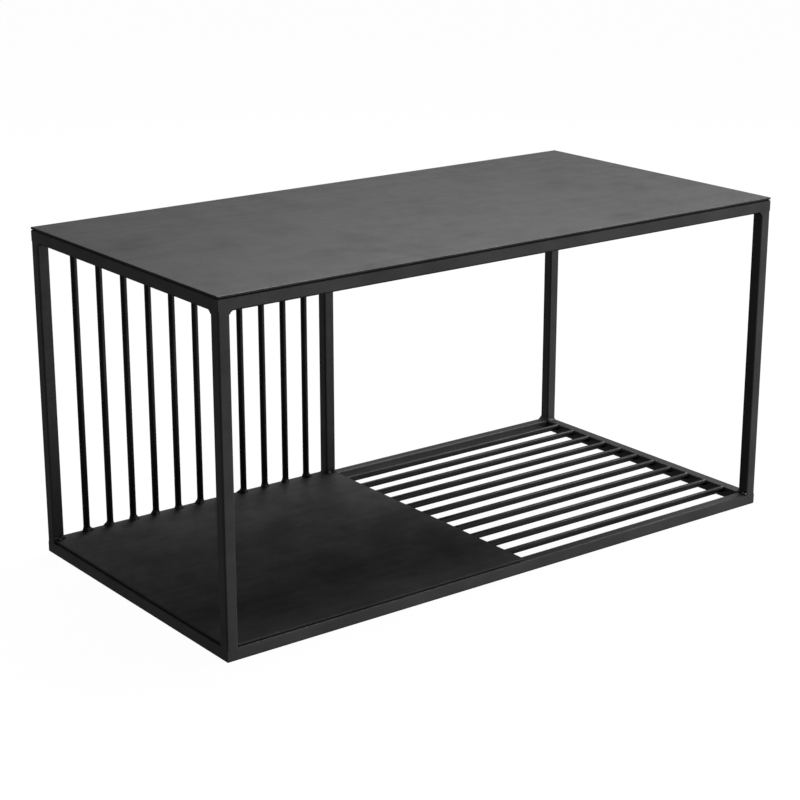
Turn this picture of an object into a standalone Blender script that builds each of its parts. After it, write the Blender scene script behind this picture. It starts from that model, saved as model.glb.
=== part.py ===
"""Firewood log rack: a welded box frame of small square steel tube.

A sheet top lies on the upper frame.  The left half of the floor is a sheet shelf with a row of
upright rods behind it, and the right half is a grate of rods.  Nothing on it moves.

Units are metres and +Z is up.  The rack is centred on X and Y and stands on Z = 0.
X runs along its length, and its front faces -Y.
"""

import math

import bmesh
import bpy
from mathutils import Matrix, Vector

# ---------------------------------------------------------------- driving dimensions
LENGTH = 0.600  # outside, along X
DEPTH = 0.300  # outside, along Y
HEIGHT = 0.300  # floor to the upper face of the top sheet

TUBE = 0.011  # outside of the square tube
TUBE_WALL = 0.001
TUBE_RADIUS = 0.00175  # outside corner of the tube

ROD = 0.006  # diameter of the round bar
TOP_SHEET = 0.002
SHELF_SHEET = 0.002

SHELF_INSET = 0.002  # the shelf sheet stops this far inside the frame
SHELF_EDGE_INSET = 0.001  # and its free edge this far inside the cross rail's right face

MIDDLE_POST = 0.3057  # left end of the rack to the axis of the middle post

BACK_RODS = 11  # upright rods between the left post and the middle post
BACK_ROD_LEFT_MARGIN = 0.0257  # left post's inner face to the first rod's axis
BACK_ROD_RIGHT_MARGIN = 0.0208  # last rod's axis to the middle post

FLOOR_RODS = 11  # rods of the grate, from the cross rail to the right rail
FLOOR_ROD_FRONT_MARGIN = 0.0213  # front rail's inner face to the first rod's axis
FLOOR_ROD_BACK_MARGIN = 0.0152  # last rod's axis to the back rail

GAP = 0.0003  # clearance between pieces that are welded together
EDGE_BREAK = 0.0003  # width of the broken edge round a sheet
CORNER_STEPS = 3  # facets round one tube corner
ROD_SIDES = 16
SMOOTH_BELOW = math.radians(35)

# ---------------------------------------------------------------- places that follow from them
LEFT = -LENGTH / 2
RIGHT = LENGTH / 2
FRONT = -DEPTH / 2
BACK = DEPTH / 2
HALF_TUBE = TUBE / 2

TOP_FRAME_TOP = HEIGHT - TOP_SHEET - GAP
TOP_FRAME_UNDERSIDE = TOP_FRAME_TOP - TUBE
SHELF_UNDERSIDE = TUBE + GAP
SHELF_TOP = SHELF_UNDERSIDE + SHELF_SHEET
MIDDLE_X = LEFT + MIDDLE_POST  # the cross rail lies on the same line
SHELF_EDGE = MIDDLE_X + HALF_TUBE - SHELF_EDGE_INSET

X = Vector((1, 0, 0))
Y = Vector((0, 1, 0))
Z = Vector((0, 0, 1))

BLACK_TUBE = (0.020, 0.020, 0.021)
BLACK_SHEET = (0.030, 0.030, 0.031)
BLACK_ROD = (0.016, 0.016, 0.017)


# ---------------------------------------------------------------- helpers
def clear_scene():
    for obj in list(bpy.data.objects):
        bpy.data.objects.remove(obj, do_unlink=True)


def new_collection(name):
    collection = bpy.data.collections.new(name)
    bpy.context.scene.collection.children.link(collection)
    return collection


def finish_of(name, colour, roughness):
    """Black lacquer over steel, one material for one piece."""
    material = bpy.data.materials.new(name + "_finish")
    material.use_nodes = True
    shader = material.node_tree.nodes["Principled BSDF"]
    shader.inputs["Base Color"].default_value = (*colour, 1.0)
    shader.inputs["Roughness"].default_value = roughness
    shader.inputs["Metallic"].default_value = 0.0
    return material


def outline_to_mesh(name, outlines, thickness):
    """A mesh from flat closed outlines, the first of them outside, made thickness deep about Z = 0."""
    curve = bpy.data.curves.new(name, "CURVE")
    curve.dimensions = "2D"
    curve.fill_mode = "BOTH"
    curve.extrude = thickness / 2
    for outline in outlines:
        spline = curve.splines.new("POLY")
        spline.points.add(len(outline) - 1)
        for point, (x, y) in zip(spline.points, outline):
            point.co = (x, y, 0, 1)
        spline.use_cyclic_u = True
    drawn = bpy.data.objects.new(name + "_outline", curve)
    bpy.context.scene.collection.objects.link(drawn)
    bpy.context.view_layer.update()
    evaluated = drawn.evaluated_get(bpy.context.evaluated_depsgraph_get())
    mesh = bpy.data.meshes.new_from_object(evaluated)
    mesh.name = name
    bpy.data.objects.remove(drawn, do_unlink=True)
    bpy.data.curves.remove(curve)
    work = bmesh.new()
    work.from_mesh(mesh)
    bmesh.ops.remove_doubles(work, verts=work.verts, dist=0.000001)
    bmesh.ops.recalc_face_normals(work, faces=work.faces)
    work.to_mesh(mesh)
    work.free()
    return mesh


def rounded_square(side, radius):
    """Points round a square with rounded corners, anticlockwise."""
    points = []
    reach = side / 2 - radius
    for corner, (sx, sy) in enumerate(((1, 1), (-1, 1), (-1, -1), (1, -1))):
        for step in range(CORNER_STEPS + 1):
            angle = math.radians(90) * (corner + step / CORNER_STEPS)
            x = sx * reach + radius * math.cos(angle)
            y = sy * reach + radius * math.sin(angle)
            points.append((x, y))
    return points


def cut_mitres(mesh, length):
    """Slopes both ends of a tube at 45 degrees, so that its +X side stays the long one."""
    for vertex in mesh.vertices:
        cut = HALF_TUBE - vertex.co.x
        end = math.copysign(length / 2, vertex.co.z)
        vertex.co.z = end - math.copysign(cut, end)


def add_piece(rack, name, mesh, colour, roughness):
    piece = bpy.data.objects.new(name, mesh)
    rack.users_collection[0].objects.link(piece)
    piece.parent = rack
    mesh.materials.append(finish_of(name, colour, roughness))
    mesh.shade_smooth()
    mesh.set_sharp_from_angle(angle=SMOOTH_BELOW)
    return piece


# ---------------------------------------------------------------- square tube
def add_tube(rack, name, start, end, outward=None):
    """A tube between two points of its axis; outward names the long side of one with mitred ends."""
    axis = (end - start).normalized()
    length = (end - start).length
    outer = rounded_square(TUBE, TUBE_RADIUS)
    inner = rounded_square(TUBE - 2 * TUBE_WALL, TUBE_RADIUS - TUBE_WALL)
    mesh = outline_to_mesh(name, (outer, inner), length)
    if outward is not None:
        cut_mitres(mesh, length)
    side = outward if outward is not None else X
    piece = add_piece(rack, name, mesh, BLACK_TUBE, 0.5)
    piece.location = (start + end) / 2
    piece.rotation_euler = Matrix((side, axis.cross(side), axis)).transposed().to_euler()
    return piece


def add_frame(rack, level, middle_z):
    """Four mitred rails round the rack, with a gap of GAP across each mitre."""
    pull_back = GAP / 2 * math.sqrt(2)
    left, right = LEFT + pull_back, RIGHT - pull_back
    front, back = FRONT + pull_back, BACK - pull_back
    near, far = FRONT + HALF_TUBE, BACK - HALF_TUBE
    west, east = LEFT + HALF_TUBE, RIGHT - HALF_TUBE
    rails = (
        ("front", Vector((left, near, middle_z)), Vector((right, near, middle_z)), -Y),
        ("back", Vector((left, far, middle_z)), Vector((right, far, middle_z)), Y),
        ("left", Vector((west, front, middle_z)), Vector((west, back, middle_z)), -X),
        ("right", Vector((east, front, middle_z)), Vector((east, back, middle_z)), X),
    )
    for side, start, end, outward in rails:
        add_tube(rack, f"{side}_{level}_rail", start, end, outward)


def add_posts(rack):
    """Four corner posts and the middle post at the back, standing between the two frames."""
    near, far = FRONT + HALF_TUBE, BACK - HALF_TUBE
    west, east = LEFT + HALF_TUBE, RIGHT - HALF_TUBE
    feet = {
        "front_left_post": (west, near),
        "front_right_post": (east, near),
        "back_left_post": (west, far),
        "back_right_post": (east, far),
        "back_middle_post": (MIDDLE_X, far),
    }
    for name, (x, y) in feet.items():
        foot = Vector((x, y, TUBE + GAP))
        head = Vector((x, y, TOP_FRAME_UNDERSIDE - GAP))
        add_tube(rack, name, foot, head)


def add_cross_rail(rack):
    """The tube under the shelf's free edge, which also holds the left ends of the grate's rods."""
    front = Vector((MIDDLE_X, FRONT + TUBE + GAP, HALF_TUBE))
    back = Vector((MIDDLE_X, BACK - TUBE - GAP, HALF_TUBE))
    add_tube(rack, "bottom_cross_rail", front, back)


# ---------------------------------------------------------------- sheet
def add_sheet(rack, name, outline, middle_z, thickness):
    mesh = outline_to_mesh(name, (outline,), thickness)
    piece = add_piece(rack, name, mesh, BLACK_SHEET, 0.55)
    piece.location = (0, 0, middle_z)
    edge = piece.modifiers.new("Broken edge", "BEVEL")
    edge.width = EDGE_BREAK
    edge.segments = 1
    edge.limit_method = "ANGLE"
    return piece


def add_top_plate(rack):
    """The top lies flush with the frame's outer faces on all four sides."""
    outline = ((LEFT, FRONT), (RIGHT, FRONT), (RIGHT, BACK), (LEFT, BACK))
    add_sheet(rack, "top_plate", outline, HEIGHT - TOP_SHEET / 2, TOP_SHEET)


def add_shelf_plate(rack):
    """The left half of the floor, notched round the three posts that stand on the frame beside it."""
    left, right = LEFT + SHELF_INSET, SHELF_EDGE
    front, back = FRONT + SHELF_INSET, BACK - SHELF_INSET
    post_left = LEFT + TUBE + GAP
    post_front = FRONT + TUBE + GAP
    post_back = BACK - TUBE - GAP
    middle_post = MIDDLE_X - HALF_TUBE - GAP
    outline = (
        (post_left, front),
        (right, front),
        (right, post_back),
        (middle_post, post_back),
        (middle_post, back),
        (post_left, back),
        (post_left, post_back),
        (left, post_back),
        (left, post_front),
        (post_left, post_front),
    )
    middle_z = SHELF_UNDERSIDE + SHELF_SHEET / 2
    add_sheet(rack, "shelf_plate", outline, middle_z, SHELF_SHEET)


# ---------------------------------------------------------------- round bar
def add_rod(rack, name, start, end):
    axis = end - start
    bpy.ops.mesh.primitive_cylinder_add(vertices=ROD_SIDES, radius=ROD / 2, depth=axis.length)
    made = bpy.context.object
    mesh = made.data
    mesh.name = name
    bpy.data.objects.remove(made, do_unlink=True)
    piece = add_piece(rack, name, mesh, BLACK_ROD, 0.5)
    piece.location = (start + end) / 2
    piece.rotation_euler = axis.to_track_quat("Z", "Y").to_euler()
    return piece


def spread(first, last, count):
    """Evenly spaced positions from first to last."""
    return [first + (last - first) * i / (count - 1) for i in range(count)]


def add_back_rods(rack):
    """Upright rods from the shelf to the back top rail's underside, under its centre line."""
    y = BACK - HALF_TUBE
    first = LEFT + TUBE + BACK_ROD_LEFT_MARGIN
    last = MIDDLE_X - HALF_TUBE - BACK_ROD_RIGHT_MARGIN
    for number, x in enumerate(spread(first, last, BACK_RODS), 1):
        foot = Vector((x, y, SHELF_TOP + GAP))
        head = Vector((x, y, TOP_FRAME_UNDERSIDE - GAP))
        add_rod(rack, f"back_rod_{number:02d}", foot, head)


def add_floor_rods(rack):
    """Rods of the grate, level with the top of the bottom frame."""
    z = TUBE - ROD / 2
    first = FRONT + TUBE + FLOOR_ROD_FRONT_MARGIN
    last = BACK - TUBE - FLOOR_ROD_BACK_MARGIN
    for number, y in enumerate(spread(first, last, FLOOR_RODS), 1):
        left = Vector((MIDDLE_X + HALF_TUBE + GAP, y, z))
        right = Vector((RIGHT - TUBE - GAP, y, z))
        add_rod(rack, f"floor_rod_{number:02d}", left, right)


# ---------------------------------------------------------------- the rack
def build():
    clear_scene()
    collection = new_collection("Firewood log rack")
    rack = bpy.data.objects.new("rack", None)
    collection.objects.link(rack)
    add_frame(rack, "bottom", HALF_TUBE)
    add_frame(rack, "top", TOP_FRAME_TOP - HALF_TUBE)
    add_posts(rack)
    add_cross_rail(rack)
    add_shelf_plate(rack)
    add_top_plate(rack)
    add_back_rods(rack)
    add_floor_rods(rack)


build()
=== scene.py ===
# %% [markdown]
# # A welded log rack in satin black lacquer
#
# The rack is a box of small square tube.  A sheet lies on the upper frame, a second sheet makes
# the left half of the floor, and round rods make the back of that half and the floor of the other.
# Everything is welded, ground where it shows, and then lacquered black.
#
# This lesson dresses the plain frame.  It reads every place and size from the frame, rebuilds each
# piece with its real corners and its welds, gives it a lacquer that isn't one flat colour, and
# ends with the studio: floor, lights and camera.

# %% Load the frame
import math
import random

import bmesh
import bpy
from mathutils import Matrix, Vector, noise


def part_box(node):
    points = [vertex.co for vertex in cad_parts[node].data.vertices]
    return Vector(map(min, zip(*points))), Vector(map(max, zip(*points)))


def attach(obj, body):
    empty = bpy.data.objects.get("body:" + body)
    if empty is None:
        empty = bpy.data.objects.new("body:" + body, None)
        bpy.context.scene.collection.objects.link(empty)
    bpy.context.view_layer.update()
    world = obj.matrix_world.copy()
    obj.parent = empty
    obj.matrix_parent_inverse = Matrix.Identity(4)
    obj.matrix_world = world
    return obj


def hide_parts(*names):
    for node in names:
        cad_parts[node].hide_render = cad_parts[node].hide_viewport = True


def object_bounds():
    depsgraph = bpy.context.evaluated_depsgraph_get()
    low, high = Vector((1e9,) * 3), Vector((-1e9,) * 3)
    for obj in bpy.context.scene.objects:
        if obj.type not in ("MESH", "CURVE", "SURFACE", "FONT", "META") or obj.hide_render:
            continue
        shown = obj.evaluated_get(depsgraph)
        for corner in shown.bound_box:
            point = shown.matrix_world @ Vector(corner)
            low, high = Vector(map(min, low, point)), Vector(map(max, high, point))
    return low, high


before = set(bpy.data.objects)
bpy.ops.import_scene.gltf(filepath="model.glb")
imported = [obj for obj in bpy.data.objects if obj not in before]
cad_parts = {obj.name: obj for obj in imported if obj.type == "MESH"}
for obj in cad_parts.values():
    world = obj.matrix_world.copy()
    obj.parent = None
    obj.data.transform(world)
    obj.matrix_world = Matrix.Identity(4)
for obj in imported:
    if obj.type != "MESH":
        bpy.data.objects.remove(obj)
cad_low, cad_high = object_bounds()
print("frame nodes:", len(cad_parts), "box:", cad_low[:], cad_high[:])

# %% [markdown]
# ## Sizes
#
# The frame knows where every piece is, so the lesson asks it and never types a place in twice.
# A box gives the tube's width and the rod's diameter.  What a box can't give, such as how round
# the corner of a tube is, is named here.

# %% Read the sizes
post_low, post_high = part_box("front_left_post")
rod_low, rod_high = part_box("back_rod_01")
rail_low, rail_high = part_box("front_bottom_rail")
TUBE = post_high.x - post_low.x
ROD = rod_high.x - rod_low.x
FLOOR_TOP = rail_high.z
SHELF_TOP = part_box("shelf_plate")[1].z
ROOF_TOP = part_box("front_top_rail")[1].z
ROOF_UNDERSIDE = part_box("front_top_rail")[0].z
MM = 0.001
TUBE_CORNER = 1.75 * MM  # outside radius of the tube
GROUND_CORNER = 0.7 * MM  # what grinding leaves of a mitre's point
X, Y, Z = Vector((1, 0, 0)), Vector((0, 1, 0)), Vector((0, 0, 1))
print(f"tube {TUBE / MM:.1f} mm, rod {ROD / MM:.1f} mm")
print(f"roof underside at {ROOF_UNDERSIDE / MM:.1f} mm")

# %% [markdown]
# ## One way to make a piece
#
# Square tube, round rod and weld bead all have a section that runs along a line, so one helper
# serves them.  It joins rings of points with quads and closes both ends.  Rings that touch are
# merged, which is how a mitre comes to a clean edge.  Weighted normals then keep the flats flat
# while the corners stay round.

# %% Loft rings into a closed skin
MERGE = 0.000002  # points closer than this are one point
SMOOTH_BELOW = math.radians(40)


def add_loft(work, rings):
    """Joins rings of points, all of one length, with quads and closes the first and the last."""
    loops = [[work.verts.new(point) for point in ring] for ring in rings]
    for before, after in zip(loops, loops[1:]):
        for i in range(len(before)):
            j = (i + 1) % len(before)
            work.faces.new((before[i], before[j], after[j], after[i]))
    work.faces.new(loops[0][::-1])
    work.faces.new(loops[-1])


def finish_piece(name, work, material, slot, *stands_for):
    """Makes a piece from work, which it uses up, and hides the CAD nodes it stands for."""
    bmesh.ops.remove_doubles(work, verts=work.verts, dist=MERGE)
    bmesh.ops.dissolve_degenerate(work, edges=work.edges, dist=MERGE)
    bmesh.ops.recalc_face_normals(work, faces=work.faces)
    mesh = bpy.data.meshes.new(name)
    work.to_mesh(mesh)
    work.free()
    mesh.shade_smooth()
    mesh.set_sharp_from_angle(angle=SMOOTH_BELOW)
    mesh.materials.append(material)
    piece = bpy.data.objects.new(name, mesh)
    bpy.context.scene.collection.objects.link(piece)
    flats = piece.modifiers.new("Flat faces stay flat", "WEIGHTED_NORMAL")
    flats.keep_sharp = True
    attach(piece, "root")
    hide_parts(*stands_for)
    return piece


# %% [markdown]
# ## The lacquer
#
# Satin black lacquer on steel is never one black.  It is sprayed over mill scale and grinding
# marks, so it shows a fine grain, soft clouds of thicker and thinner film, and faint streaks along
# the sheet.  Each of those is a noise of its own size.  The film's clouds, streaks and specks change
# its tone, its gloss and how much it mirrors; the grain and the runs only bend the light, as a bump.

# %% Node helpers
def add_node(tree, kind, **inputs):
    made = tree.nodes.new(kind)
    for name, value in inputs.items():
        made.inputs[name.replace("_", " ")].default_value = value
    return made


def noise_of(tree, place, scale, detail, roughness):
    made = add_node(tree, "ShaderNodeTexNoise", Scale=scale, Detail=detail, Roughness=roughness)
    tree.links.new(place, made.inputs["Vector"])
    return made.outputs["Fac"]


def stretched(tree, place, scale):
    made = tree.nodes.new("ShaderNodeMapping")
    made.inputs["Scale"].default_value = scale
    tree.links.new(place, made.inputs["Vector"])
    return made.outputs["Vector"]


def spread_over(tree, fac, low, high, start=0.3, end=0.7):
    made = tree.nodes.new("ShaderNodeMapRange")
    made.inputs["From Min"].default_value = start
    made.inputs["From Max"].default_value = end
    made.inputs["To Min"].default_value = low
    made.inputs["To Max"].default_value = high
    tree.links.new(fac, made.inputs["Value"])
    return made.outputs["Result"]


def combine(tree, operation, first, second):
    made = tree.nodes.new("ShaderNodeMath")
    made.operation = operation
    for socket, value in zip(made.inputs, (first, second)):
        if isinstance(value, (int, float)):
            socket.default_value = value
        else:
            tree.links.new(value, socket)
    return made.outputs["Value"]


# %% [markdown]
# One recipe makes all six lacquers.  They differ in how thick and how smooth the film lies: a sheet
# shows its clouds, a cut edge and a weld are rough under the film, and a thin rod's film runs down
# it in small waves.  Four tones also carry painted light: the shelf, the rods and the cut edge are
# darker as painted shade, and the weld is lighter as a painted highlight.

# %% Black lacquer
# Noise scales, which say about how many swells fit into a metre.
CLOUD_SCALE = 22
RUN_SCALE = 170
SPECK_SCALE = 420
FINE_SCALE = 1500
STREAK_SCALES = (9, 90, 90)  # long along X and narrow across it
SPECK_STRENGTH = 0.06
# How much of the film's pattern goes to each property.  A thick spot is glossier, so that share is
# negative: it takes roughness away.
SHARE_TO_TONE = 0.5
SHARE_TO_ROUGHNESS = -0.22
SHARE_TO_SHINE = 0.4
FINE_SHARE = 0.5
BUMP_DEPTH = 0.06 * MM


def black_lacquer(name, tone, gloss, shine, clouds, streaks, grain, runs):
    """A lacquer whose tone is its own grey, gloss its roughness and shine how much it mirrors.

    clouds, streaks, grain and runs say how strong each pattern is.
    """
    material = bpy.data.materials.new(name)
    material.use_nodes = True
    tree = material.node_tree
    shader = tree.nodes["Principled BSDF"]
    place = tree.nodes.new("ShaderNodeTexCoord").outputs["Object"]
    cloud = noise_of(tree, place, CLOUD_SCALE, 6, 0.62)
    speck = noise_of(tree, place, SPECK_SCALE, 3, 0.6)
    streak = noise_of(tree, stretched(tree, place, STREAK_SCALES), 1, 5, 0.65)
    fine = noise_of(tree, place, FINE_SCALE, 2, 0.5)
    run = noise_of(tree, place, RUN_SCALE, 2, 0.5)
    film = combine(
        tree,
        "ADD",
        spread_over(tree, cloud, -clouds, clouds),
        spread_over(tree, streak, -streaks, streaks),
    )
    film = combine(tree, "ADD", film, spread_over(tree, speck, -SPECK_STRENGTH, SPECK_STRENGTH))
    thickness = combine(tree, "ADD", combine(tree, "MULTIPLY", film, SHARE_TO_TONE), 1.0)
    shade = combine(tree, "MULTIPLY", thickness, tone)
    colour = tree.nodes.new("ShaderNodeCombineColor")
    for channel in colour.inputs:
        tree.links.new(shade, channel)
    tree.links.new(colour.outputs["Color"], shader.inputs["Base Color"])
    rough = combine(tree, "ADD", combine(tree, "MULTIPLY", film, SHARE_TO_ROUGHNESS), gloss)
    tree.links.new(rough, shader.inputs["Roughness"])
    mirrors = combine(tree, "ADD", combine(tree, "MULTIPLY", film, SHARE_TO_SHINE), shine)
    tree.links.new(mirrors, shader.inputs["Specular IOR Level"])
    height = combine(
        tree,
        "ADD",
        combine(tree, "MULTIPLY", fine, FINE_SHARE),
        combine(tree, "MULTIPLY", run, runs),
    )
    height = combine(tree, "ADD", height, speck)
    bump = add_node(tree, "ShaderNodeBump", Strength=grain, Distance=BUMP_DEPTH)
    tree.links.new(height, bump.inputs["Height"])
    tree.links.new(bump.outputs["Normal"], shader.inputs["Normal"])
    shader.inputs["Metallic"].default_value = 0.0
    return material


TUBE_LACQUER = black_lacquer(
    "tube_lacquer", tone=0.018, gloss=0.46, shine=0.5, clouds=0.16, streaks=0.06, grain=0.5, runs=0.8
)
SHEET_LACQUER = black_lacquer(
    "sheet_lacquer", tone=0.022, gloss=0.50, shine=0.5, clouds=0.36, streaks=0.16, grain=0.5, runs=0.6
)
# The shelf is the top's sheet lacquer with a darker tone, which is painted shade for the shade the top
# throws on the shelf.
SHELF_PAINTED_SHADE_LACQUER = black_lacquer(
    "shelf_painted_shade_lacquer", tone=0.018, gloss=0.57, shine=0.5, clouds=0.28, streaks=0.12, grain=0.5, runs=0.6
)
# The cut edge's roughness is real; its darker tone is painted shade, for the dark line of shade along the
# sheet's edge.
EDGE_PAINTED_SHADE_LACQUER = black_lacquer(
    "cut_edge_painted_shade_lacquer", tone=0.011, gloss=0.58, shine=0.45, clouds=0.20, streaks=0.05, grain=0.9, runs=1.5
)
# The rods' near-black tone is painted shade, for the shade they stand in under the top; their film's
# small waves are a real bump.
ROD_PAINTED_SHADE_LACQUER = black_lacquer(
    "rod_painted_shade_lacquer", tone=0.004, gloss=0.32, shine=0.28, clouds=0.16, streaks=0.05, grain=0.5, runs=5.0
)
# The weld's smoother gloss is real; its lighter tone is a painted highlight, for the glints on the lumps'
# facets.
WELD_PAINTED_HIGHLIGHT_LACQUER = black_lacquer(
    "weld_painted_highlight_lacquer", tone=0.03, gloss=0.20, shine=0.6, clouds=0.20, streaks=0.05, grain=0.5, runs=3.0
)
print("lacquers:", sorted(m.name for m in bpy.data.materials if m.name.endswith("lacquer")))

# %% [markdown]
# ## Mitred rails
#
# The upper and lower frames are four tubes each, cut at 45 degrees, welded and ground.  Grinding
# takes the point off the outer corner, so each rail ends in a few rings that follow a small arc up
# to the mitre, and its neighbour does the same from the other side.

# %% Tube section and mitred rails
CORNER_STEPS = 6
GROUND_STEPS = 3


def tube_section():
    """Points (u, v) round the tube, anticlockwise, with round corners."""
    points = []
    reach = TUBE / 2 - TUBE_CORNER
    for corner, (su, sv) in enumerate(((1, 1), (-1, 1), (-1, -1), (1, -1))):
        for step in range(CORNER_STEPS + 1):
            angle = math.radians(90) * (corner + step / CORNER_STEPS)
            u = su * reach + TUBE_CORNER * math.cos(angle)
            v = sv * reach + TUBE_CORNER * math.sin(angle)
            points.append((u, v))
    return points


def mitre_end(half_length):
    """Rings towards one mitred end, as (s, u, v), from the straight part to the cut."""
    rings = [[(half_length - TUBE - GROUND_CORNER, u, v) for u, v in tube_section()]]
    for step in range(GROUND_STEPS + 1):
        angle = math.radians(45) * step / GROUND_STEPS
        reach = half_length - GROUND_CORNER * (1 - math.sin(angle))
        widest = TUBE / 2 - GROUND_CORNER * (1 - math.cos(angle))
        ring = []
        for u, v in tube_section():
            u = min(u, widest)
            ring.append((min(reach, half_length - (TUBE / 2 - u)), u, v))
        rings.append(ring)
    return rings


def build_rail(name, along, outward, centre, length):
    """A tube with a mitre at both ends, longest on its outward face."""
    half = mitre_end(length / 2)
    rings = [[(-s, u, v) for s, u, v in ring] for ring in reversed(half)] + half
    work = bmesh.new()
    placed = [[centre + along * s + outward * u + Z * v for s, u, v in ring] for ring in rings]
    add_loft(work, placed)
    return finish_piece(name + "_lacquered", work, TUBE_LACQUER, "black_tube", name)


def build_frames():
    middle = (cad_low + cad_high) / 2
    across, deep = cad_high.x - cad_low.x, cad_high.y - cad_low.y
    for level, top in (("bottom", FLOOR_TOP), ("top", ROOF_TOP)):
        height = top - TUBE / 2
        for side, along, outward, length in (
            ("front", X, -Y, across),
            ("back", X, Y, across),
            ("left", Y, -X, deep),
            ("right", Y, X, deep),
        ):
            reach = (deep if along == X else across) / 2 - TUBE / 2
            centre = Vector((middle.x, middle.y, height)) + outward * reach
            build_rail(f"{side}_{level}_rail", along, outward, centre, length)


build_frames()

# %% [markdown]
# ## Weld beads
#
# A bead in an inside corner is a hollow fillet: it leaves both faces square to them and dips
# between.  A hand-laid bead also swells and thins along its length, so its size follows a seeded
# noise.  Under the top frame the bead also fills the groove that the tubes' round corners leave,
# and its end is cut flush with the outside of the rack, as the grinder leaves it.

# %% Beads and lumps
BEAD_ARC = 8  # steps round the hollow
BEAD_STATIONS = 13  # rings along the bead
BEAD_SWELL = 0.15
BEAD_ROOT = 0.3 * MM  # how far a foot bead bites into the metal behind it
LUMP_UNEVENNESS = 0.35
LUMP_WAVES = 1.7


def add_bead(work, corner, along, first, second, width, size, fullness, root, seed):
    """A fillet between the faces that first and second lie in, along a corner line.

    With fullness 0 it is a quarter circle hollow; with fullness 1 it is a flat bevel.  It bites
    into the metal by root.
    """
    rings = []
    for station in range(BEAD_STATIONS):
        t = station / (BEAD_STATIONS - 1) - 0.5
        swell = 1 + BEAD_SWELL * noise.noise(Vector((seed * 3.7, t * 4.0, 0)))
        size_here = size * swell
        ring = [-root * (first + second)]
        for step in range(BEAD_ARC + 1):
            angle = math.radians(90) * step / BEAD_ARC
            hollow = first * (1 - math.sin(angle)) + second * (1 - math.cos(angle))
            chord = first * (1 - step / BEAD_ARC) + second * (step / BEAD_ARC)
            ring.append(size_here * (hollow * (1 - fullness) + chord * fullness))
        ring[1] -= second * root
        ring[-1] -= first * root
        rings.append([corner + along * (t * width) + point for point in ring])
    add_loft(work, rings)


def add_lump(work, centre, size, seed):
    """A lump of weld that stands proud, as an uneven ball; size is its three half widths in mm."""
    made = bmesh.ops.create_icosphere(work, subdivisions=3, radius=1.0)
    for vertex in made["verts"]:
        uneven = 1 + LUMP_UNEVENNESS * noise.noise(vertex.co * LUMP_WAVES + Vector((seed, 0, 0)))
        vertex.co = centre + Vector([c * s * MM * uneven for c, s in zip(vertex.co, size)])


# %% [markdown]
# ## Posts
#
# A post stands between two rails.  The rails have round edges, so a post that stopped at them would
# leave a groove across the face.  The real one is filled with weld and ground flush, and the post
# here runs on through the rail's round edge to the start of its flat face, which does the same.
#
# Every post has a neat ground bead under the upper frame, on its two inner faces.  The feet are
# left as welded, each in its own way: a large bead here, a small one there, and on three posts a
# few lumps where the torch stopped.  The near post stands in the shelf's notch and shows no bead.

# %% Build the posts
TOP_BEAD = 2.5 * MM
TOP_FULLNESS = 0.05
FOOT_FULLNESS = 0.5
GROUND_BACK = 0.05 * MM  # how far a top bead's end stays behind the tube's face
LUMP_STANDS_OUT = 0.7 * MM
POST_INWARD = {
    "front_left_post": (X, Y),
    "front_right_post": (-X, Y),
    "back_left_post": (X, -Y),
    "back_right_post": (-X, -Y),
    "back_middle_post": (X, -X),
}
# Which way each foot bead faces, what it lies on, its length along the face and its size in mm.
FOOT_BEADS = {
    "front_left_post": (),
    "front_right_post": ((-X, FLOOR_TOP, 9.6, 1.8), (Y, FLOOR_TOP, 10.6, 2.4)),
    "back_left_post": ((X, SHELF_TOP, 8.4, 2.6), (-Y, SHELF_TOP, 8.0, 1.7)),
    "back_right_post": ((-X, FLOOR_TOP, 10.6, 3.0), (-Y, FLOOR_TOP, 8.6, 2.2)),
    "back_middle_post": ((X, FLOOR_TOP, 10.6, 3.0), (-X, SHELF_TOP, 7.0, 1.6), (-Y, SHELF_TOP, 7.6, 2.0)),
}
# Lumps: which face, what it lies on, how far along and up from there, and the half widths, in mm.
LUMPS = {
    "front_right_post": (
        (-X, FLOOR_TOP, -2.6, 1.6, (1.3, 1.5, 2.6)),
        (-X, FLOOR_TOP, 1.4, 0.9, (2.0, 2.3, 1.5)),
        (-X, FLOOR_TOP, 4.4, 0.7, (1.7, 1.6, 1.2)),
    ),
    "back_left_post": (
        (-Y, SHELF_TOP, -2.9, 2.4, (1.8, 1.3, 1.9)),
        (-Y, SHELF_TOP, 0.2, 0.8, (2.3, 1.7, 1.4)),
        (-Y, SHELF_TOP, 3.2, 2.0, (1.5, 1.4, 2.4)),
    ),
    "back_middle_post": (
        (-Y, SHELF_TOP, -3.0, 0.9, (1.8, 1.6, 1.5)),
        (-Y, SHELF_TOP, 2.8, 1.1, (2.0, 1.7, 1.9)),
    ),
}


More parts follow.
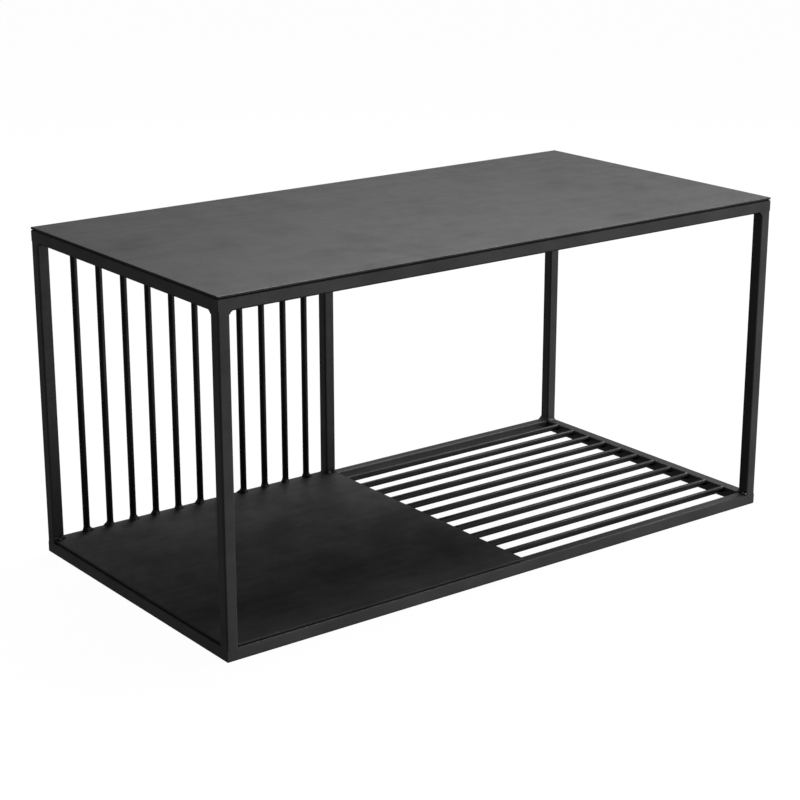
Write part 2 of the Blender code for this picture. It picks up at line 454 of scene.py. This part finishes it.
def build_post(name, seed):
    """One post with its beads and lumps.  The lumps alone take the weld lacquer, lighter as a painted
    highlight.
    """
    low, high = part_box(name)
    centre = (low + high) / 2
    foot, head = FLOOR_TOP - TUBE_CORNER, ROOF_UNDERSIDE + TUBE_CORNER
    work = bmesh.new()
    add_loft(
        work,
        [[Vector((centre.x + u, centre.y + v, z)) for u, v in tube_section()] for z in (foot, head)],
    )
    axis = Vector((centre.x, centre.y, 0))
    for number, inward in enumerate(POST_INWARD[name]):
        corner = axis + inward * TUBE / 2 + Z * ROOF_UNDERSIDE
        across = Z.cross(inward)
        width = TUBE - 2 * GROUND_BACK
        shape = (width, TOP_BEAD, TOP_FULLNESS, TUBE_CORNER)
        add_bead(work, corner, across, -Z, inward, *shape, seed + number)
    for number, (inward, ground, width, size) in enumerate(FOOT_BEADS[name]):
        corner = axis + inward * TUBE / 2 + Z * ground
        across = Z.cross(inward)
        shape = (width * MM, size * MM, FOOT_FULLNESS, BEAD_ROOT)
        add_bead(work, corner, across, Z, inward, *shape, seed + number + 0.5)
    plain = len(work.faces)
    for number, (inward, ground, along, up, size) in enumerate(LUMPS.get(name, ())):
        place = axis + inward * (TUBE / 2 + LUMP_STANDS_OUT) + Z * (ground + up * MM)
        place += Z.cross(inward) * along * MM
        add_lump(work, place, size, seed * 10 + number)
    work.faces.ensure_lookup_table()
    for face in work.faces[plain:]:
        face.material_index = 1
    piece = finish_piece(name + "_lacquered", work, TUBE_LACQUER, "black_tube", name)
    piece.data.materials.append(WELD_PAINTED_HIGHLIGHT_LACQUER)
    return piece


for seed, post in enumerate(POST_INWARD):
    build_post(post, seed)
print("posts made:", sorted(POST_INWARD))

# %% [markdown]
# ## Cross rail
#
# One more tube crosses the lower frame from front to back, under the shelf's free edge.  Its ends
# meet the two long rails square, and run into their round edges as the posts do.

# %% Build the cross rail
def build_cross_rail():
    low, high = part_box("bottom_cross_rail")
    centre = (low + high) / 2
    ends = (cad_low.y + TUBE - TUBE_CORNER, cad_high.y - TUBE + TUBE_CORNER)
    work = bmesh.new()
    add_loft(
        work,
        [[Vector((centre.x + u, y, centre.z + v)) for u, v in tube_section()] for y in ends],
    )
    name = "bottom_cross_rail"
    return finish_piece(name + "_lacquered", work, TUBE_LACQUER, "black_tube", name)


build_cross_rail()
print("cross rail made")

# %% [markdown]
# ## Sheets
#
# The top and the shelf are sheet steel, two millimetres thick.  The cut edge is rougher than the
# rolled face and takes the lacquer dull, and its tone is darker as painted shade, so it reads as a
# dark line; the broken corner between the two is a small round.

# %% Build the sheets
EDGE_STEPS = 4
EDGE_ROUND = 0.30  # radius of the broken edge, as a share of the sheet's thickness
CUT_EDGE_STEEPNESS = 0.6  # a face whose normal rises less than this belongs to the cut edge
SHELF_CLEARANCE = 0.3 * MM  # between the shelf's notches and the posts


def build_sheet(name, outline, lacquer):
    """A sheet as thick as the frame's, with broken edges and a duller lacquer on the cut, darker as
    painted shade.
    """
    low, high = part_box(name)
    edge = (high.z - low.z) * EDGE_ROUND
    work = bmesh.new()
    face = work.faces.new([work.verts.new((x, y, low.z)) for x, y in outline])
    raised = bmesh.ops.extrude_face_region(work, geom=[face])["geom"]
    top = [v for v in raised if isinstance(v, bmesh.types.BMVert)]
    bmesh.ops.translate(work, verts=top, vec=Z * (high.z - low.z))
    bmesh.ops.recalc_face_normals(work, faces=work.faces)
    bmesh.ops.bevel(
        work, geom=list(work.edges), offset=edge, segments=EDGE_STEPS, profile=0.5, affect="EDGES"
    )
    # Upright faces, the cut edge, take the second lacquer, whose darker tone is painted shade.
    for face in work.faces:
        face.material_index = int(abs(face.normal.z) < CUT_EDGE_STEEPNESS)
    piece = finish_piece(name + "_lacquered", work, lacquer, "black_sheet", name)
    piece.data.materials.append(EDGE_PAINTED_SHADE_LACQUER)
    return piece


def top_outline():
    low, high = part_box("top_plate")
    return [(low.x, low.y), (high.x, low.y), (high.x, high.y), (low.x, high.y)]


def shelf_outline():
    """The shelf, with a notch where each of three posts stands on the frame beside it."""
    low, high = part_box("shelf_plate")
    clear = Vector((SHELF_CLEARANCE, SHELF_CLEARANCE, 0))
    front_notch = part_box("front_left_post")[1] + clear
    back_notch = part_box("back_left_post")[0].y - SHELF_CLEARANCE
    middle_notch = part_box("back_middle_post")[0].x - SHELF_CLEARANCE
    return [
        (front_notch.x, low.y),
        (high.x, low.y),
        (high.x, back_notch),
        (middle_notch, back_notch),
        (middle_notch, high.y),
        (front_notch.x, high.y),
        (front_notch.x, back_notch),
        (low.x, back_notch),
        (low.x, front_notch.y),
        (front_notch.x, front_notch.y),
    ]


build_sheet("top_plate", top_outline(), SHEET_LACQUER)
build_sheet("shelf_plate", shelf_outline(), SHELF_PAINTED_SHADE_LACQUER)
print("sheets made")

# %% [markdown]
# ## Rods
#
# Each rod is a round bar with a weld round each end.  A weld climbs a few millimetres up the bar
# and spreads on what the bar stands on, more on the side the torch came from, so the rings near an
# end grow outwards by an amount that turns round the bar.

# %% Build the rods
ROD_SIDES = 28
WELD_RINGS = 6
WELD_HOLLOW = 1.7  # above 1 the weld's outline is hollow, at 1 it is straight
FAR_SIDE = 0.35  # how much of the weld goes round to the far side
WELD_UNEVENNESS = 0.5
WELD_WAVES = 1.6
RODS_EACH = 11
chance = random.Random(11)


def weld_spread(angle, distance, climb, spread, lean, seed):
    """How far the weld stands out from the bar, at an angle round it and a distance up it."""
    if distance >= climb:
        return 0.0
    rise = (1 - distance / climb) ** WELD_HOLLOW
    turned = FAR_SIDE + (1 - FAR_SIDE) * max(0.0, math.cos(angle - lean)) ** 1.5
    around = Vector((math.cos(angle) * WELD_WAVES, math.sin(angle) * WELD_WAVES, seed))
    uneven = 1 + WELD_UNEVENNESS * noise.noise(around)
    return spread * rise * turned * uneven


def build_rod(name, start, end, side, other, welds):
    """A round bar; each of the two welds is how far it climbs, how far it spreads and its lean."""
    length = (end - start).length
    along = (end - start).normalized()
    stations = []
    for climb, spread, lean in welds:
        stations.append([climb * step / WELD_RINGS for step in range(WELD_RINGS + 1)])
    distances = stations[0] + [length - d for d in reversed(stations[1])]
    seeds = [chance.uniform(0, 50) for _ in welds]
    rings = []
    for distance in distances:
        ring = []
        for i in range(ROD_SIDES):
            angle = 2 * math.pi * i / ROD_SIDES
            radius = ROD / 2
            radius += weld_spread(angle, distance, *welds[0], seeds[0])
            radius += weld_spread(angle, length - distance, *welds[1], seeds[1])
            outward = side * math.cos(angle) + other * math.sin(angle)
            ring.append(start + along * distance + outward * radius)
        rings.append(ring)
    work = bmesh.new()
    add_loft(work, rings)
    return finish_piece(name + "_lacquered", work, ROD_PAINTED_SHADE_LACQUER, "black_rod", name)


def build_back_rods():
    for number in range(1, RODS_EACH + 1):
        name = f"back_rod_{number:02d}"
        low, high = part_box(name)
        centre = (low + high) / 2
        foot = Vector((centre.x, centre.y, SHELF_TOP))
        head = Vector((centre.x, centre.y, ROOF_UNDERSIDE))
        lean = math.pi * (number % 2) + chance.uniform(-0.5, 0.5) + math.pi
        foot_weld = (chance.uniform(3.8, 5.6) * MM, chance.uniform(2.6, 4.0) * MM, lean)
        head_weld = (1.6 * MM, 0.7 * MM, chance.uniform(0, 6))
        build_rod(name, foot, head, X, Y, (foot_weld, head_weld))


def build_floor_rods():
    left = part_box("bottom_cross_rail")[1].x
    right = cad_high.x - TUBE
    for number in range(1, RODS_EACH + 1):
        name = f"floor_rod_{number:02d}"
        low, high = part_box(name)
        centre = (low + high) / 2
        start = Vector((left, centre.y, centre.z))
        end = Vector((right, centre.y, centre.z))
        welds = [
            (chance.uniform(2.4, 3.6) * MM, chance.uniform(0.9, 1.5) * MM, chance.uniform(-1.2, 1.2))
            for _ in range(2)
        ]
        build_rod(name, start, end, Y, Z, welds)


build_back_rods()
build_floor_rods()

# %% [markdown]
# ## The studio
#
# Black lacquer shows its shape by what it mirrors, so the lights matter more than the colour.  The
# floor and the backdrop are plain pale paper that only the camera sees: they would otherwise throw
# so much light at the rack that its shaded side would go grey.

# %% Floor and backdrop
def glowing_paper(name, colour, glow):
    """Pale paper that is lit a little from behind, so that shadows on it stay faint."""
    paper = bpy.data.materials.new(name)
    paper.use_nodes = True
    shader = paper.node_tree.nodes["Principled BSDF"]
    shader.inputs["Base Color"].default_value = (colour, colour, colour, 1)
    shader.inputs["Roughness"].default_value = 0.9
    shader.inputs["Specular IOR Level"].default_value = 0.0
    shader.inputs["Emission Color"].default_value = (1, 1, 1, 1)
    shader.inputs["Emission Strength"].default_value = glow
    return paper


def stage_piece(name, work, paper):
    """A stage piece that only the camera sees: it neither lights the rack nor shades it."""
    mesh = bpy.data.meshes.new(name)
    work.to_mesh(mesh)
    work.free()
    mesh.materials.append(paper)
    piece = bpy.data.objects.new(name, mesh)
    bpy.context.scene.collection.objects.link(piece)
    piece.visible_diffuse = False
    piece.visible_glossy = False
    piece.visible_transmission = False
    piece.visible_shadow = False
    return piece


STAGE_REACH = 28
ground = bmesh.new()
bmesh.ops.create_grid(ground, x_segments=1, y_segments=1, size=STAGE_REACH)
stage_piece("studio_floor", ground, glowing_paper("floor_paper", 0.03, 0.98))
dome = bmesh.new()
bmesh.ops.create_uvsphere(dome, u_segments=48, v_segments=24, radius=STAGE_REACH)
stage_piece("studio_backdrop", dome, glowing_paper("backdrop_paper", 0.0, 1.0))


# %% [markdown]
# Three softboxes hang overhead, the strongest in the middle and two weaker ones to the right and
# behind, so that the top is a little brighter to the right.  The faces that stand upright mirror
# what is round the rack, so the surroundings glow softly, most of all to the front and right.

# %% Lights
def add_softbox(name, place, aim, width, height, power):
    data = bpy.data.lights.new(name, "AREA")
    data.shape = "RECTANGLE"
    data.size = width
    data.size_y = height
    data.energy = power
    lamp = bpy.data.objects.new(name, data)
    bpy.context.scene.collection.objects.link(lamp)
    lamp.location = place
    lamp.rotation_euler = (Vector(aim) - Vector(place)).to_track_quat("-Z", "Y").to_euler()
    return lamp


add_softbox("overhead", (0.42, 0.15, 1.8), (0, 0, 0.1), 1.2, 0.9, 33)
add_softbox("overhead right", (1.15, 0.1, 1.5), (0, 0, 0.1), 1.0, 0.8, 14)
add_softbox("overhead back", (0.8, 0.95, 1.8), (0, 0, 0.1), 0.7, 0.7, 6)


UNDER_RACK = 0.1  # what is left of a glow that comes from straight below
SHADE_FADES = (-0.75, -0.35)  # sines of the elevations between which it fades


def build_surroundings(glows):
    """Light from all round, as a sum of soft glows: each has a direction, an edge and a strength.

    A glow is full in its direction and fades to nothing at its edge, which is a cosine.  The floor
    next to the rack sends light back, and the floor under it, in its shade, hardly any.
    """
    world = bpy.data.worlds.new("studio")
    bpy.context.scene.world = world
    world.use_nodes = True
    tree = world.node_tree
    around = tree.nodes.new("ShaderNodeTexCoord").outputs["Generated"]
    total = 0.0
    for direction, edge, strength in glows:
        facing = tree.nodes.new("ShaderNodeVectorMath")
        facing.operation = "DOT_PRODUCT"
        facing.inputs[1].default_value = Vector(direction).normalized()
        tree.links.new(around, facing.inputs[0])
        glow = spread_over(tree, facing.outputs["Value"], 0, strength, edge, 1)
        total = combine(tree, "ADD", glow, total)
    height = tree.nodes.new("ShaderNodeVectorMath")
    height.operation = "DOT_PRODUCT"
    height.inputs[1].default_value = Z
    tree.links.new(around, height.inputs[0])
    floor_shade = spread_over(tree, height.outputs["Value"], UNDER_RACK, 1, *SHADE_FADES)
    total = combine(tree, "MULTIPLY", total, floor_shade)
    tree.links.new(total, tree.nodes["Background"].inputs["Strength"])
    tree.nodes["Background"].inputs["Color"].default_value = (1, 1, 1, 1)


build_surroundings(
    (
        ((0.67, -0.73, -0.08), 0.4, 0.94),
        ((1, 0, 0), 0.0, 0.25),
        ((0, 1, 0), 0.0, 0.10),
        ((-1, 0, 0), 0.0, 0.22),
    )
)
bpy.context.scene.view_settings.view_transform = "Standard"

# %% [markdown]
# The camera stands low at the left front corner with a long lens, so that the rack shows its front,
# its left end and its top with little perspective.

# %% Camera
CAMERA_AIM = Vector((-0.0137, 0.0011, 0.1265))
CAMERA_AZIMUTH = math.radians(-37.23)
CAMERA_ELEVATION = math.radians(17.52)
CAMERA_DISTANCE = 1.8277
CAMERA_LENS = 90.13


def place_camera():
    data = bpy.data.cameras.new("camera")
    data.lens = CAMERA_LENS
    data.sensor_width = 36
    camera = bpy.data.objects.new("camera", data)
    bpy.context.scene.collection.objects.link(camera)
    level = math.cos(CAMERA_ELEVATION)
    back = Vector(
        (
            math.sin(CAMERA_AZIMUTH) * level,
            -math.cos(CAMERA_AZIMUTH) * level,
            math.sin(CAMERA_ELEVATION),
        )
    )
    camera.location = CAMERA_AIM + back * CAMERA_DISTANCE
    camera.rotation_euler = (-back).to_track_quat("-Z", "Y").to_euler()
    bpy.context.scene.camera = camera


place_camera()
